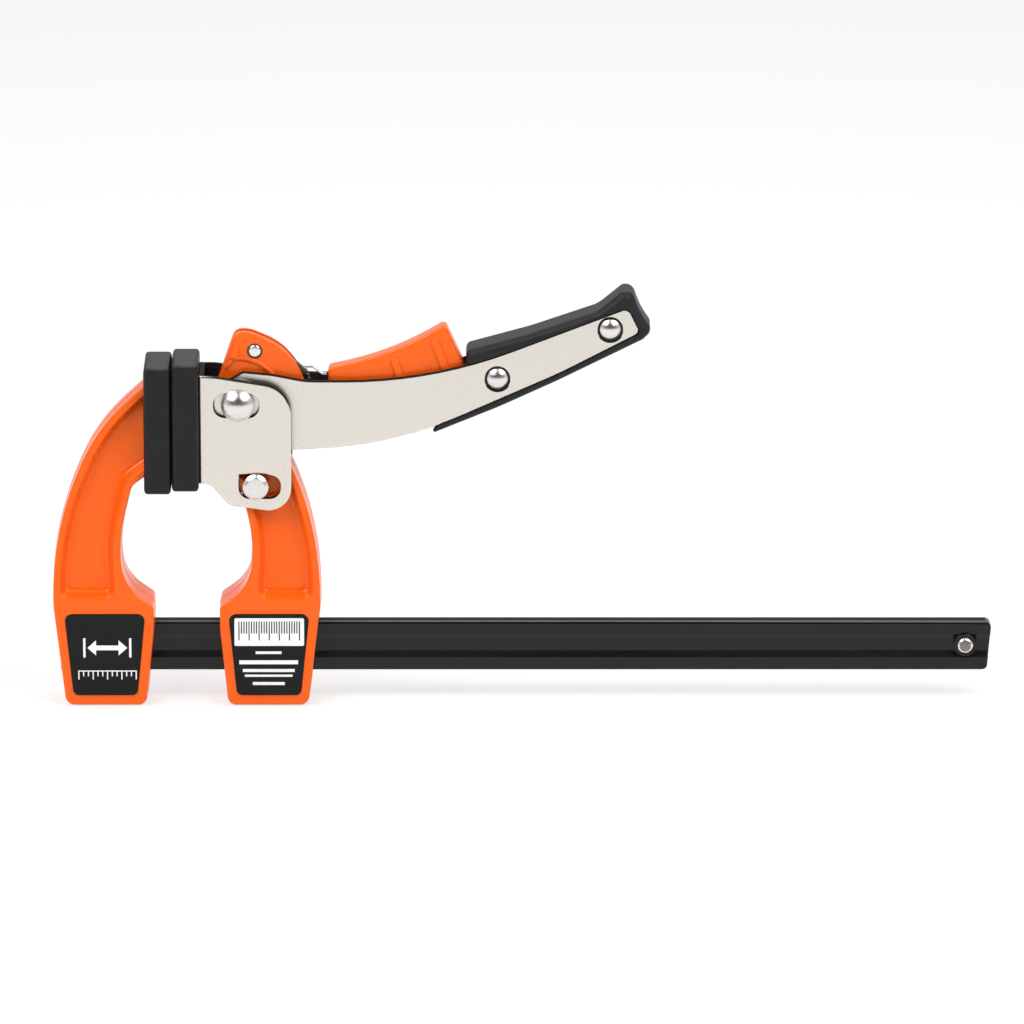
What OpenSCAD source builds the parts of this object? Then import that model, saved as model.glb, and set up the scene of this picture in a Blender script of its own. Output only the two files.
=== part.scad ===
// Quick release bar clamp: a fixed jaw and a sliding jaw on a grooved bar.
// A long lever with a ratchet pushes the moving pad, and a trigger lets the ratchet go.
// X runs along the bar towards its open end, Y away from the viewer, Z up.
// The origin is on the ground at the middle of the fixed jaw's foot. Lengths are millimetres.

/* [Bar] */
// Widest opening between the pads
capacity = 305; // [150:5:600]
// Height of the bar
bar_h = 24.6; // [22:0.2:30]
// Thickness of the bar over its flanges
bar_t = 8.4; // [7:0.2:11]
// Depth of the groove in each side of the bar
groove_depth = 1.6; // [0.8:0.1:2.2]
// Height of the groove's sloped sides
groove_slope = 2.8; // [1.6:0.1:3]
// Height of each flange
flange_h = 6.6; // [5:0.1:7]
// Radius of the bar's long edges
bar_edge = 1.6; // [0.6:0.1:2]
// Height of the bar's underside above the ground
bar_lift = 14.8; // [12:0.2:18]
// Length of bar past the stop pin
bar_tail = 12.8; // [10:0.2:25]

/* [Jaws] */
// Thickness of a jaw where it holds the bar
jaw_t = 30; // [26:0.5:36]
// Thickness of the arms at the height of their tips
tip_t = 17.6; // [14:0.2:17.6]
// Width of a jaw's foot
foot_w = 39.2; // [36:0.2:44]
// Height of the block that holds the bar
block_h = 50; // [47:0.5:54]
// Height of the arm's recess above the block
recess_lift = 3.7; // [2:0.1:6]
// Depth of the recess in each side of the arm
recess_depth = 5; // [3:0.5:6]
// Width of the rim around the recess
rim_w = 3.9; // [2.5:0.1:4.2]
// Width of the sloped wall of the recess
recess_slope = 2.3; // [1:0.1:3]
// Thickness of the sliding jaw's head between the lever plates
head_t = 10; // [8:0.2:12]
// Radius of the ratchet about the lever's pivot
head_r = 36; // [35:0.2:38]
// Height of the raised ring and leaf on the head
relief_h = 0.8; // [0.4:0.1:1]
// Thickness of a label plate
label_t = 0.6; // [0.3:0.1:1]

/* [Pads] */
// Height of a pad
pad_h = 62.4; // [55:0.2:70]
// Depth of a pad
pad_w = 37; // [33:0.5:44]
// Thickness of a pad
pad_t = 13; // [9:0.5:14]
// Height of the moving pad's underside above the ground
pad_lift = 107.2; // [106:0.2:110]
// Distance by which the fixed pad sits lower
pad_drop = 1.4; // [0:0.1:2]
// Radius of the pads' edges
pad_edge = 2.6; // [1:0.1:3]
// Gap between the closed pads
pad_gap = 0.3; // [0.2:0.1:1]

/* [Pad carrier] */
// Thickness of the carrier's sheet
carrier_sheet = 2.5; // [2:0.1:3]
// Gap between the carrier's side plates
carrier_gap = 25.4; // [25:0.1:27]
// Distance from the pad's back to the carrier's far edge
carrier_len = 44.3; // [42:0.1:50]
// Travel of the carrier when the lever is raised
carrier_travel = 3.2; // [2:0.1:3.2]

/* [Lever] */
// Thickness of a lever plate
lever_sheet = 2.5; // [2:0.1:3]
// Gap between the lever plates
lever_gap = 14.5; // [13.5:0.1:15]
// Angle through which the lever is raised
lever_lift = 26; // [15:1:26]
// Distance from the pivot to the lever's end
lever_reach = 193; // [185:1:200]
// Smallest distance that the cam holds between pivot and pad carrier at rest
cam_rest = 16; // [15.6:0.1:16.2]
// Thickness of the grip over its rims
grip_t = 22; // [21:0.5:28]

/* [Pins] */
// Diameter of the lever's pivot pin
pivot_d = 11.4; // [10:0.1:12]
// Diameter of the pivot pin's domed head
dome_d = 15.8; // [15:0.1:18]
// Diameter of the guide pin
guide_d = 9; // [8:0.1:9.4]
// Diameter of the guide pin's head
guide_head_d = 12.6; // [12:0.1:14]
// Diameter of the pin that holds the ratchet plate
sector_pin_d = 6; // [5:0.1:7]
// Diameter of the trigger's pin
trigger_pin_d = 6; // [5:0.1:7]
// Diameter of the stop pin
stop_pin_d = 7.6; // [6:0.1:9]
// Diameter of the rings on the stop pin
stop_ring_d = 11.2; // [10:0.1:13]
// Diameter of the pins that hold the fixed jaw
jaw_pin_d = 6; // [5:0.5:7]
// Diameter of the grip rivets' heads
rivet_d = 9.8; // [8:0.1:10.4]
// Diameter of the grip's bosses round the rivets
rivet_boss_d = 11.6; // [11:0.1:13]

/* [Ratchet] */
// Thickness of the ratchet plate and of the pawl
ratchet_t = 4; // [3:0.2:5]
// Depth of a ratchet tooth
tooth_depth = 1.2; // [0.8:0.1:1.3]
// Angle of one ratchet tooth
tooth_pitch = 3; // [2.5:0.5:4]
// Number of ratchet teeth
tooth_count = 14; // [10:1:14]
// Thickness of the trigger
trigger_t = 11; // [10:0.2:13]
// Height of the ribs on the trigger's sides
rib_h = 0.6; // [0.3:0.1:0.8]
// Wall between the trigger's end and the first rivet's boss
trigger_wall = 4.7; // [4.2:0.1:7]
// Diameter of the trigger spring's wire
wire_d = 1.4; // [1:0.1:1.6]

/* [Fits] */
// Radial clearance of a running pin
run_fit = 0.05; // [0.02:0.01:0.1]
// Gap between flat faces that slide past each other
slide_fit = 0.2; // [0.15:0.05:0.3]
// Gap between curved faces of pieces that move apart
free_fit = 0.3; // [0.25:0.05:0.4]

/* [Hidden] */
$fn = 64;

// Places along the bar and above the ground
mouth_x = 31.8;
fixed_back = mouth_x - pad_gap / 2 - pad_t;
carrier_x = mouth_x + pad_gap / 2 + pad_t;
web_x = carrier_x + carrier_sheet;
carrier_end = carrier_x + carrier_len;
slider_mid = mouth_x + 45.5;
foot_shift = 0.4;
block_half = foot_w / 2 + 5.9;
block_in = foot_w / 2 + 3.55;
bar_mid = bar_lift + bar_h / 2;
bar_start = -block_half + 3;
stop_at = [slider_mid + block_half + capacity + stop_ring_d / 2, bar_mid + 0.7];
bar_end = stop_at.x + bar_tail;
arm_in_x = mouth_x - 24;
pivot = [web_x + cam_rest + free_fit, 149.4];
guide = [pivot.x + 8.4, 109.5];
trigger_axis = pivot + [38.7, -15.4];
sector_pin = pivot + [8.1, 24.3];

// Half thicknesses, from the inside out
lever_in = lever_gap / 2;
lever_out = lever_in + lever_sheet;
pin_seat = lever_in + 0.7 * lever_sheet;
carrier_in = carrier_gap / 2;
carrier_out = carrier_in + carrier_sheet;
shelf_z = 125;

// Outlines are lists of [x, z, corner radius], and rounded() turns the corners into arcs
function unit(v) = v / norm(v);
function flat(p) = [p.x, p.y];
function wrap(a) = a > 180 ? a - 360 : a < -180 ? a + 360 : a;
function corner(a, b, c, step) = let (
        u = unit(flat(a) - flat(b)), w = unit(flat(c) - flat(b)),
        half = acos(max(-1, min(1, u * w))) / 2,
        mid = flat(b) + unit(u + w) * b[2] / sin(half),
        from = flat(b) + u * b[2] / tan(half) - mid,
        to = flat(b) + w * b[2] / tan(half) - mid,
        a0 = atan2(from.y, from.x),
        turn = wrap(atan2(to.y, to.x) - a0),
        n = max(2, ceil((180 - 2 * half) / (b[2] > 40 ? step / 3 : step))))
    [for (k = [0:n]) mid + b[2] * [cos(a0 + turn * k / n), sin(a0 + turn * k / n)]];
function rounded(v, step = 7.5) = let (n = len(v)) [for (i = [0:n - 1])
    each (v[i][2] == 0 ? [flat(v[i])] : corner(v[(i + n - 1) % n], v[i], v[(i + 1) % n], step))];
function cross2(a, b) = a.x * b.y - a.y * b.x;
function meet(p, u, q, w) = p + u * cross2(q - p, w) / cross2(u, w);
// Moves every side of an anticlockwise outline inwards by d
function inset(v, d) = let (n = len(v)) [for (i = [0:n - 1]) let (
        b = flat(v[i]), u = unit(b - flat(v[(i + n - 1) % n])), w = unit(flat(v[(i + 1) % n]) - b),
        p = meet(b + d * [-u.y, u.x], u, b + d * [-w.y, w.x], w),
        r = v[i][2] == 0 ? 0 : max(0.3, v[i][2] + (cross2(u, w) > 0 ? -d : d)))
    [p.x, p.y, r]];
function mirrored(v, x) = [for (i = [len(v) - 1:-1:0]) [2 * x - v[i][0], v[i][1], v[i][2]]];

// A slab from y0 to y1 with the outline of its children in X and Z
module slab(y0, y1) {
    translate([0, y1, 0]) rotate([90, 0, 0]) linear_extrude(y1 - y0) children();
}
module both_sides() {
    children();
    mirror([0, 1, 0]) children();
}
module cross_pin(at, d, half) {
    translate([at.x, half, at.y]) rotate([90, 0, 0]) cylinder(d = d, h = 2 * half);
}
// A solid between equal outlines at different depths, given as [y, points]. The hub sees every point
module loft(layers, hub) {
    n = len(layers[0][1]);
    rings = len(layers);
    last = (rings - 1) * n;
    polyhedron(
        concat([for (l = layers) for (p = l[1]) [p.x, l[0], p.y]],
            [[hub.x, layers[0][0], hub.y], [hub.x, layers[rings - 1][0], hub.y]]),
        concat([for (i = [0:n - 1]) [(i + 1) % n, i, rings * n]],
            [for (k = [0:rings - 2]) for (i = [0:n - 1]) let (a = k * n + i, b = k * n + (i + 1) % n)
                each [[a, b, b + n], [a, b + n, a + n]]],
            [for (i = [0:n - 1]) [last + i, last + (i + 1) % n, rings * n + 1]]));
}

// The jaws. Both have the same block, foot and arm, seen from the pad's back
block_side = -block_half - 0.45;
arm_bend = arm_in_x - 11.6;
arm_bend_z = block_h + 87.2;
chin_z = block_h + 58.3;
tip_z = block_h + 112;
function arm_top(tip, side_r) = [
    [arm_in_x - 1.1, block_h + 32.3, 74], [arm_in_x + 5.1, chin_z, 7],
    [tip, chin_z + (tip - arm_in_x - 5.1) * 0.72, 0], [tip, arm_bend_z + (tip - arm_bend) * 0.926, 0],
    [arm_bend, arm_bend_z, 90], [block_side, block_h + 38.6, side_r]];
function arm_outline(tip) = concat([
    [-foot_w / 2 - foot_shift, 0, 5], [foot_w / 2 - foot_shift, 0, 4.5], [block_in, 38, 40],
    [block_in, block_h - 0.7, 3.5], [arm_in_x + 0.8, block_h + 9.8, 22]], arm_top(tip, 158),
    [[block_side, block_h, 60]]);
recess_foot = block_h + recess_lift - rim_w;
recess_round = 8.7;
recess_tip = fixed_back + 9;
function recess_outline(tip) = concat(
    [[block_side, recess_foot, recess_round], [arm_in_x + 0.7, recess_foot, recess_round]],
    arm_top(tip, 136));
module side_taper() {
    rotate([90, 0, 90]) translate([0, 0, -200]) linear_extrude(700)
        polygon([[-jaw_t / 2, -1], [jaw_t / 2, -1], [jaw_t / 2, block_h], [tip_t / 2, tip_z],
            [-tip_t / 2, tip_z], [-jaw_t / 2, block_h]]);
}
recess_step = 14;
// The recess leans with the side of the arm
module recess(v, hub) {
    lean = atan2((jaw_t - tip_t) / 2, tip_z - block_h);
    mouth = rounded(inset(v, rim_w), recess_step);
    bottom = rounded(inset(v, rim_w + recess_slope), recess_step);
    both_sides() translate([0, -jaw_t / 2, block_h]) rotate([-lean, 0, 0]) translate([0, 0, -block_h])
        loft([[-5, mouth], [0, mouth], [recess_depth, bottom]], hub);
}
module bar_slot(x0, x1, play) {
    translate([x0, -bar_t / 2 - play, bar_lift - play])
        cube([x1 - x0, bar_t + 2 * play, bar_h + 2 * play]);
}
jaw_pin_inset = 14;
jaw_pins = [[jaw_pin_inset - block_half, bar_mid], [block_half - jaw_pin_inset, bar_mid]];
label_top = 46;
label_foot = 5.5;
label_outline = [[-foot_w / 2 + 3.5, label_foot, 3], [foot_w / 2 - 4.9, label_foot, 3],
    [block_in - 4.5, label_top, 3.5], [-block_half + 5.2, label_top, 3.5]];

module fixed_jaw() {
    color([0.99, 0.42, 0.11]) difference() {
        intersection() {
            slab(-jaw_t / 2, jaw_t / 2) polygon(rounded(arm_outline(fixed_back), 9));
            side_taper();
        }
        recess(recess_outline(recess_tip), [-2, 112]);
        bar_slot(bar_start, block_half + 1, 0);
        for (p = jaw_pins) cross_pin(p, jaw_pin_d, jaw_t);
    }
}
module label_plate() {
    slab(-jaw_t / 2 - label_t, -jaw_t / 2) polygon(rounded(label_outline));
}
module fixed_jaw_label() {
    color([0.09, 0.09, 0.1]) label_plate();
}
module fixed_jaw_pins() {
    color([0.7, 0.7, 0.7]) for (p = jaw_pins) cross_pin(p, jaw_pin_d, jaw_t / 2);
}

// The sliding jaw's head is thin where the lever plates stride it
head_left = web_x + carrier_travel + 1;
head_outline = [
    [head_left, shelf_z - 10, 0], [pivot.x + 26, shelf_z - 10, 0], [pivot.x + 24, 128, 4],
    [pivot.x + 33, pivot.y + 3, 6], [pivot.x + 32.3, pivot.y + 8.1, 3], [pivot.x + 29.8, pivot.y + 15.8, 30],
    [pivot.x + 20.8, pivot.y + 27.2, 12], [pivot.x + 5.8, pivot.y + 33.7, 10],
    [pivot.x - 1.5, pivot.y + 33.7, 5], [pivot.x - 8.9, pivot.y + 12.1, 4], [head_left, pivot.y + 3, 4]];
leaf_outline = [[-9, 10, 0.5], [-6.8, 14.1, 8], [-3.3, 18.1, 8], [0.4, 22.4, 3], [0.7, 26.6, 3],
    [-2.3, 30.1, 1], [-9, 26, 0.5]];
leaf_clear = 1.4;
ring_r = 22;
ring_w = 1.5;
hub_d = 20;
washer_t = 1;
hub_half = lever_in - slide_fit - washer_t;

module jaw_head() {
    slab(-head_t / 2, head_t / 2) polygon(rounded(head_outline));
    slab(-head_t / 2 - relief_h, head_t / 2 + relief_h) intersection() {
        polygon(rounded(inset(head_outline, leaf_clear)));
        translate(pivot) union() {
            polygon(rounded(leaf_outline));
            difference() {
                circle(r = ring_r);
                circle(r = ring_r - ring_w);
            }
        }
    }
    cross_pin(pivot, hub_d, hub_half);
}
arm_clear_z = 90;
module clear_above(x, z) {
    translate([0, -jaw_t, z]) cube([x, 2 * jaw_t, tip_z]);
}
module sliding_jaw() {
    color([0.99, 0.42, 0.11]) difference() {
        union() {
            difference() {
                intersection() {
                    slab(-jaw_t / 2, jaw_t / 2)
                        polygon(rounded(mirrored(arm_outline(fixed_back), slider_mid / 2), 9));
                    side_taper();
                }
                recess(mirrored(recess_outline(recess_tip), slider_mid / 2), [slider_mid + 2, 112]);
                clear_above(slider_mid + foot_w, shelf_z);
                clear_above(head_left, arm_clear_z);
            }
            jaw_head();
        }
        bar_slot(0, slider_mid + foot_w, slide_fit);
        cross_pin(pivot, pivot_d, jaw_t);
        cross_pin(guide, guide_d, jaw_t);
        cross_pin(sector_pin, sector_pin_d, jaw_t);
        slab(-ratchet_t / 2, ratchet_t / 2) translate(pivot - [9, 14]) square([2 * head_r, 2 * head_r]);
    }
}
module sliding_jaw_label() {
    color([0.09, 0.09, 0.1]) translate([slider_mid, 0, 0]) mirror([1, 0, 0]) label_plate();
}

// Saw teeth round the pivot. Their steep sides face a rising lever
teeth_start = -18;
function tooth_ring() = [for (i = [0:tooth_count - 1]) let (a = teeth_start + i * tooth_pitch)
    each [(head_r - tooth_depth) * [cos(a), sin(a)], head_r * [cos(a + 0.1), sin(a + 0.1)],
        head_r * [cos(a + 0.8), sin(a + 0.8)]]];
module ratchet_plate() {
    color([0.55, 0.55, 0.56]) difference() {
        slab(-ratchet_t / 2, ratchet_t / 2) translate(pivot) union() {
            polygon(concat([[0, -8]], tooth_ring(), [[24.5, 21], [14, 28.5], [3, 28], [-7, 4]]));
            circle(d = 16);
            translate(sector_pin - pivot) circle(d = 12);
        }
        cross_pin(pivot, pivot_d, 10);
        cross_pin(sector_pin, sector_pin_d, 10);
    }
}
module ratchet_plate_pin() {
    color([0.78, 0.76, 0.73]) cross_pin(sector_pin, sector_pin_d, head_t / 2 + 0.4);
}
module dome(at, d, height, y) {
    r = (d * d / 4 + height * height) / (2 * height);
    translate([at.x, -y, at.y]) intersection() {
        translate([0, r - height, 0]) sphere(r = r, $fn = 96);
        rotate([90, 0, 0]) cylinder(d = d, h = height + 1);
    }
}
dome_h = 4;
rivet_h = 2;
module pivot_pin() {
    head_y = carrier_out + free_fit;
    color([0.82, 0.8, 0.77]) {
        cross_pin(pivot, pivot_d, head_y);
        both_sides() dome(pivot, dome_d, dome_h, head_y);
    }
}
module washer(half, d, t) {
    both_sides() translate([pivot.x, -half, pivot.y]) rotate([90, 0, 0]) difference() {
        cylinder(d = d, h = t);
        translate([0, 0, -1]) cylinder(d = pivot_d, h = t + 2);
    }
}
head_washer_d = 18;
outer_washer_d = 14.6;
module head_washers() {
    color([0.7, 0.7, 0.7]) washer(hub_half, head_washer_d, washer_t);
}
module outer_washers() {
    color([0.7, 0.7, 0.7])
        washer(lever_out + slide_fit, outer_washer_d, carrier_in - lever_out - 2 * slide_fit);
}
guide_rim = 1.6;
guide_bevel = 1.4;
module guide_pin() {
    head_y = carrier_out + free_fit;
    color([0.82, 0.8, 0.77]) {
        cross_pin(guide, guide_d, head_y);
        both_sides() translate([guide.x, -head_y, guide.y]) rotate([90, 0, 0]) {
            cylinder(d = guide_head_d, h = guide_rim);
            translate([0, 0, guide_rim])
                cylinder(d1 = guide_head_d, d2 = guide_head_d - 2 * guide_bevel, h = guide_bevel);
        }
    }
}

// The bar and what is fixed to it
bar_slant = 2.2;
bar_side = [[bar_start, bar_lift, 0], [bar_end - bar_slant, bar_lift, 3], [bar_end, bar_lift + bar_h, 3.5],
    [bar_start, bar_lift + bar_h, 0]];
function bar_corners(side) = let (
        h = bar_h / 2, t = side * bar_t / 2, web = side * (bar_t / 2 - groove_depth)) [
    [t, -h, bar_edge], [t, flange_h - h, 0.4], [web, flange_h + groove_slope - h, 0],
    [web, h - flange_h - groove_slope, 0], [t, h - flange_h, 0.4], [t, h, bar_edge]];
module bar_profile(x0, x1) {
    translate([x0, 0, bar_mid]) rotate([90, 0, 90]) linear_extrude(x1 - x0)
        polygon(rounded(concat(bar_corners(1), [for (i = [5:-1:0]) bar_corners(-1)[i]]), 15));
}
module bar() {
    color([0.1, 0.1, 0.11]) difference() {
        intersection() {
            slab(-bar_t, bar_t) polygon(rounded(bar_side));
            bar_profile(bar_start, bar_end);
        }
        cross_pin(stop_at, stop_pin_d, bar_t);
        for (p = jaw_pins) cross_pin(p, jaw_pin_d, bar_t);
    }
}
stop_ring_y = bar_t / 2 + 1.6;
stop_pin_y = stop_ring_y + 0.8;
stop_bevel = 0.9;
module stop_pin() {
    color([0.25, 0.25, 0.26]) {
        cross_pin(stop_at, stop_pin_d, stop_pin_y);
        both_sides() translate([stop_at.x, -stop_pin_y, stop_at.y]) rotate([90, 0, 0])
            cylinder(d1 = stop_pin_d, d2 = stop_pin_d - 2 * stop_bevel, h = stop_bevel);
    }
}
module stop_pin_rings() {
    color([0.1, 0.1, 0.11]) difference() {
        cross_pin(stop_at, stop_ring_d, stop_ring_y);
        bar_profile(stop_at.x - stop_ring_d, stop_at.x + stop_ring_d);
        cross_pin(stop_at, stop_pin_d, stop_pin_y);
        slab(groove_depth - bar_t / 2, bar_t / 2 - groove_depth) translate(stop_at - [9, 9]) square([18, 18]);
    }
}

// Pads are blocks with rounded edges
function pad_face(a0, a1, b0, b1) = rounded([[a0, b0, pad_edge], [a1, b0, pad_edge], [a1, b1, pad_edge],
    [a0, b1, pad_edge]], 18);
module pad_block(x0, z0) {
    half = pad_w / 2;
    intersection() {
        slab(-half, half) polygon(pad_face(x0, x0 + pad_t, z0, z0 + pad_h));
        translate([0, 0, z0]) linear_extrude(pad_h) polygon(pad_face(x0, x0 + pad_t, -half, half));
        translate([x0, 0, 0]) rotate([90, 0, 90]) linear_extrude(pad_t)
            polygon(pad_face(-half, half, z0, z0 + pad_h));
    }
}
module fixed_pad() {
    color([0.13, 0.13, 0.14]) pad_block(fixed_back, pad_lift - pad_drop);
}
module moving_pad() {
    color([0.13, 0.13, 0.14]) pad_block(carrier_x - pad_t, pad_lift);
}

// The pad carrier is one folded sheet with two slots in each side
slot_left = pivot_d / 2 + carrier_travel + 2.8;
slot_right = pivot_d / 2 + 4.6;
guide_left = guide_d / 2 + carrier_travel + 0.4;
guide_right = 12;
guide_slot_h = 11.8;
carrier_outline = [[carrier_x, 110.7, 0.3], [carrier_x + 5.6, 110.2, 5], [carrier_x + 14.4, 99.9, 5],
    [carrier_end, 95.6, 11], [carrier_end, 157.6, 15], [carrier_x + 8, 163.4, 15], [carrier_x, 163.7, 0.3]];
module pad_carrier() {
    color([0.86, 0.84, 0.81]) difference() {
        slab(-carrier_out, carrier_out) polygon(rounded(carrier_outline));
        slab(-carrier_in, carrier_in) translate([web_x, 80]) square([100, 100]);
        slab(-carrier_gap, carrier_gap) translate(pivot) hull() {
            translate([-slot_left + pivot_d / 2 + slide_fit, 0]) circle(d = pivot_d + 2 * slide_fit);
            translate([slot_right - pivot_d / 2 - slide_fit, 0]) circle(d = pivot_d + 2 * slide_fit);
        }
        slab(-carrier_gap, carrier_gap) polygon(rounded([[guide.x - guide_left, guide.y - guide_slot_h / 2, 5.4],
            [guide.x + guide_right, guide.y - guide_slot_h / 2, 5.4],
            [guide.x + guide_right, guide.y + guide_slot_h / 2 - 1.6, 5],
            [guide.x + 4, guide.y + guide_slot_h / 2 + 0.4, 3],
            [guide.x - guide_left, guide.y + guide_slot_h / 2, 0.4]]));
    }
}

// The cam on each lever plate is an involute, so the carrier moves evenly with the lever
cam_rate = carrier_travel / (lever_lift * PI / 180);
function cam_point(a) = let (h = cam_rest + cam_rate * (a - 180) * PI / 180)
    [pivot.x + h * cos(a) - cam_rate * sin(a), pivot.y + h * sin(a) + cam_rate * cos(a), 0];
// Corners of the lever's far part are shares of its reach
function tail(sx, sz, r) = [pivot.x + sx * lever_reach, pivot.y + sz * lever_reach, r];
lever_outline = concat([for (a = [180 - lever_lift - 8:4:204]) cam_point(a)], [
    [pivot.x - 9, 127.4, 7], [pivot.x + 10, 125.5, 12], [pivot.x + 30, 126.2, 30],
    tail(0.39, -0.108, lever_reach), tail(0.803, 0.076, 250), tail(1, 0.179, 3), tail(0.968, 0.2446, 3.5),
    tail(0.4795, 0.056, lever_reach * 1.15), [pivot.x + 32.3, 160.3, 40], [pivot.x + 16.3, 163.5, 20],
    [pivot.x + 2.5, 164.8, 2.5], [pivot.x - 3.5, 161.5, 3]]);
rivet_places = [for (p = [tail(0.644, 0.0617, 0), tail(0.9236, 0.1876, 0)]) flat(p)];
trigger_reach = norm(rivet_places[0] - trigger_axis) - rivet_boss_d / 2 - trigger_wall;
module lever_plate() {
    difference() {
        slab(-lever_out, -lever_in) polygon(rounded(lever_outline));
        cross_pin(pivot, pivot_d + 2 * run_fit, grip_t);
        cross_pin(trigger_axis, trigger_pin_d, pin_seat);
        cross_pin(spacer_at, spacer_pin_d, pin_seat);
        for (p = rivet_places) cross_pin(p, rivet_boss_d, grip_t);
    }
}
module lever_plate_front() {
    color([0.86, 0.84, 0.81]) lever_plate();
}
module lever_plate_back() {
    color([0.86, 0.84, 0.81]) mirror([0, 1, 0]) lever_plate();
}
spacer_at = trigger_axis + [45, 5.2];
spacer_d = 7;
spacer_pin_d = 4;
module lever_spacer() {
    color([0.7, 0.7, 0.7]) {
        cross_pin(spacer_at, spacer_d, lever_in);
        cross_pin(spacer_at, spacer_pin_d, pin_seat);
    }
}

// The grip fills the lever's end and rims it all round
grip_outline = [tail(0.4842, -0.0798, 1.6), tail(0.647, -0.013, 150), tail(0.793, 0.0544, 150),
    tail(1.0044, 0.1596, 4), tail(1.0288, 0.1834, 4), tail(0.9985, 0.2265, 60), tail(0.9806, 0.277, 4.5),
    tail(0.9573, 0.286, 4), tail(0.921, 0.2591, 10), tail(0.864, 0.228, 40), tail(0.7256, 0.1762, 60),
    tail(0.566, 0.1326, 3), tail(0.566, 0.0964, 0), tail(0.509, -0.043, 0)];
module grip() {
    color([0.2, 0.2, 0.21]) difference() {
        union() {
            slab(-grip_t / 2, grip_t / 2) difference() {
                polygon(rounded(grip_outline));
                polygon(rounded(inset(lever_outline, -slide_fit)));
            }
            slab(-lever_in, lever_in) intersection() {
                polygon(rounded(grip_outline));
                polygon(rounded(inset(lever_outline, -1)));
            }
            for (p = rivet_places) cross_pin(p, rivet_boss_d, lever_out);
        }
        cross_pin(trigger_axis, 2 * (trigger_reach + free_fit + 0.3), lever_in);
        for (p = rivet_places) cross_pin(p, rivet_shank_d, grip_t);
    }
}
rivet_shank_d = 5;
module grip_rivets() {
    color([0.82, 0.8, 0.77]) for (p = rivet_places) {
        cross_pin(p, rivet_shank_d, lever_out);
        both_sides() dome(p, rivet_d, rivet_h, lever_out);
    }
}

// The trigger turns on a pin between the lever plates and lifts the pawl off the teeth
module trigger_pin() {
    color([0.86, 0.84, 0.81]) cross_pin(trigger_axis, trigger_pin_d, pin_seat);
}
trigger_corners = [[1, -4.8, 0], [28, 9, 8], [90, 24, 0], [90, 40, 0], [66.2, 44.3, 0], [61, 53.9, 2.5],
    [35.4, 37.9, 147], [4.4, 31.3, 2.5], [4.4, 22, 3], [2.6, 12, 3], [-3.5, 3, 0]];
trigger_eye_d = 9.6;
rib_w = 4.2;
rib_ends = [for (share = [[[0.461, 0.431], [0.492, 0.3405]], [[0.705, 0.56], [0.769, 0.3845]]])
    share * trigger_reach];
module trigger() {
    color([0.99, 0.42, 0.11]) difference() {
        union() {
            slab(-trigger_t / 2, trigger_t / 2) translate(trigger_axis) union() {
                intersection() {
                    polygon(rounded(trigger_corners));
                    circle(r = trigger_reach, $fn = 200);
                }
                circle(d = trigger_eye_d);
            }
            slab(-trigger_t / 2 - rib_h, trigger_t / 2 + rib_h) translate(trigger_axis)
                for (e = rib_ends) hull() {
                    translate(e[0]) circle(d = rib_w);
                    translate(e[1]) circle(d = rib_w);
                }
        }
        cross_pin(trigger_axis, trigger_pin_d + 2 * run_fit, grip_t);
        slab(-ratchet_t / 2, ratchet_t / 2) translate(trigger_axis + [-20, -20]) square([34, 38]);
    }
}
pawl_tip = pivot + (head_r + free_fit) * [cos(-3), sin(-3)];
module pawl() {
    color([0.55, 0.55, 0.56]) difference() {
        slab(-ratchet_t / 2, ratchet_t / 2) union() {
            translate(trigger_axis) circle(d = trigger_eye_d);
            polygon([trigger_axis + [-4, 2], trigger_axis + [4, -2], trigger_axis + [14, 3],
                trigger_axis + [14, 18], trigger_axis + [2, 18], pawl_tip + [0.2, 0.7], pawl_tip,
                pawl_tip + [1.6, -1.2]]);
        }
        cross_pin(trigger_axis, trigger_pin_d + 2 * run_fit, grip_t);
    }
}

// A bent wire bears on the trigger's left end
wire_path = [[pivot.x + 32.5, 165.6], [pivot.x + 38.5, 165.2], [mouth_x + 74.2, 162.3]];
module trigger_spring() {
    wire_y = lever_in - wire_d / 2;
    color([0.75, 0.75, 0.76]) for (i = [0:1]) let (a = wire_path[i], b = wire_path[i + 1]) {
        translate([a.x, -wire_y, a.y]) rotate([0, atan2(b.x - a.x, b.y - a.y), 0])
            cylinder(d = wire_d, h = norm(b - a), $fn = 24);
        if (i == 0) translate([b.x, -wire_y, b.y]) sphere(d = wire_d + 0.02, $fn = 24);
    }
}

bar();
fixed_jaw();
fixed_jaw_label();
fixed_jaw_pins();
fixed_pad();
stop_pin();
stop_pin_rings();
sliding_jaw();
sliding_jaw_label();
ratchet_plate();
ratchet_plate_pin();
pivot_pin();
head_washers();
outer_washers();
guide_pin();
pad_carrier();
moving_pad();
lever_plate_front();
lever_plate_back();
lever_spacer();
grip();
grip_rivets();
trigger_pin();
trigger_spring();
trigger();
pawl();
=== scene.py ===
from math import acos, atan2, ceil, cos, degrees, hypot, pi, radians, sin, tan

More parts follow.
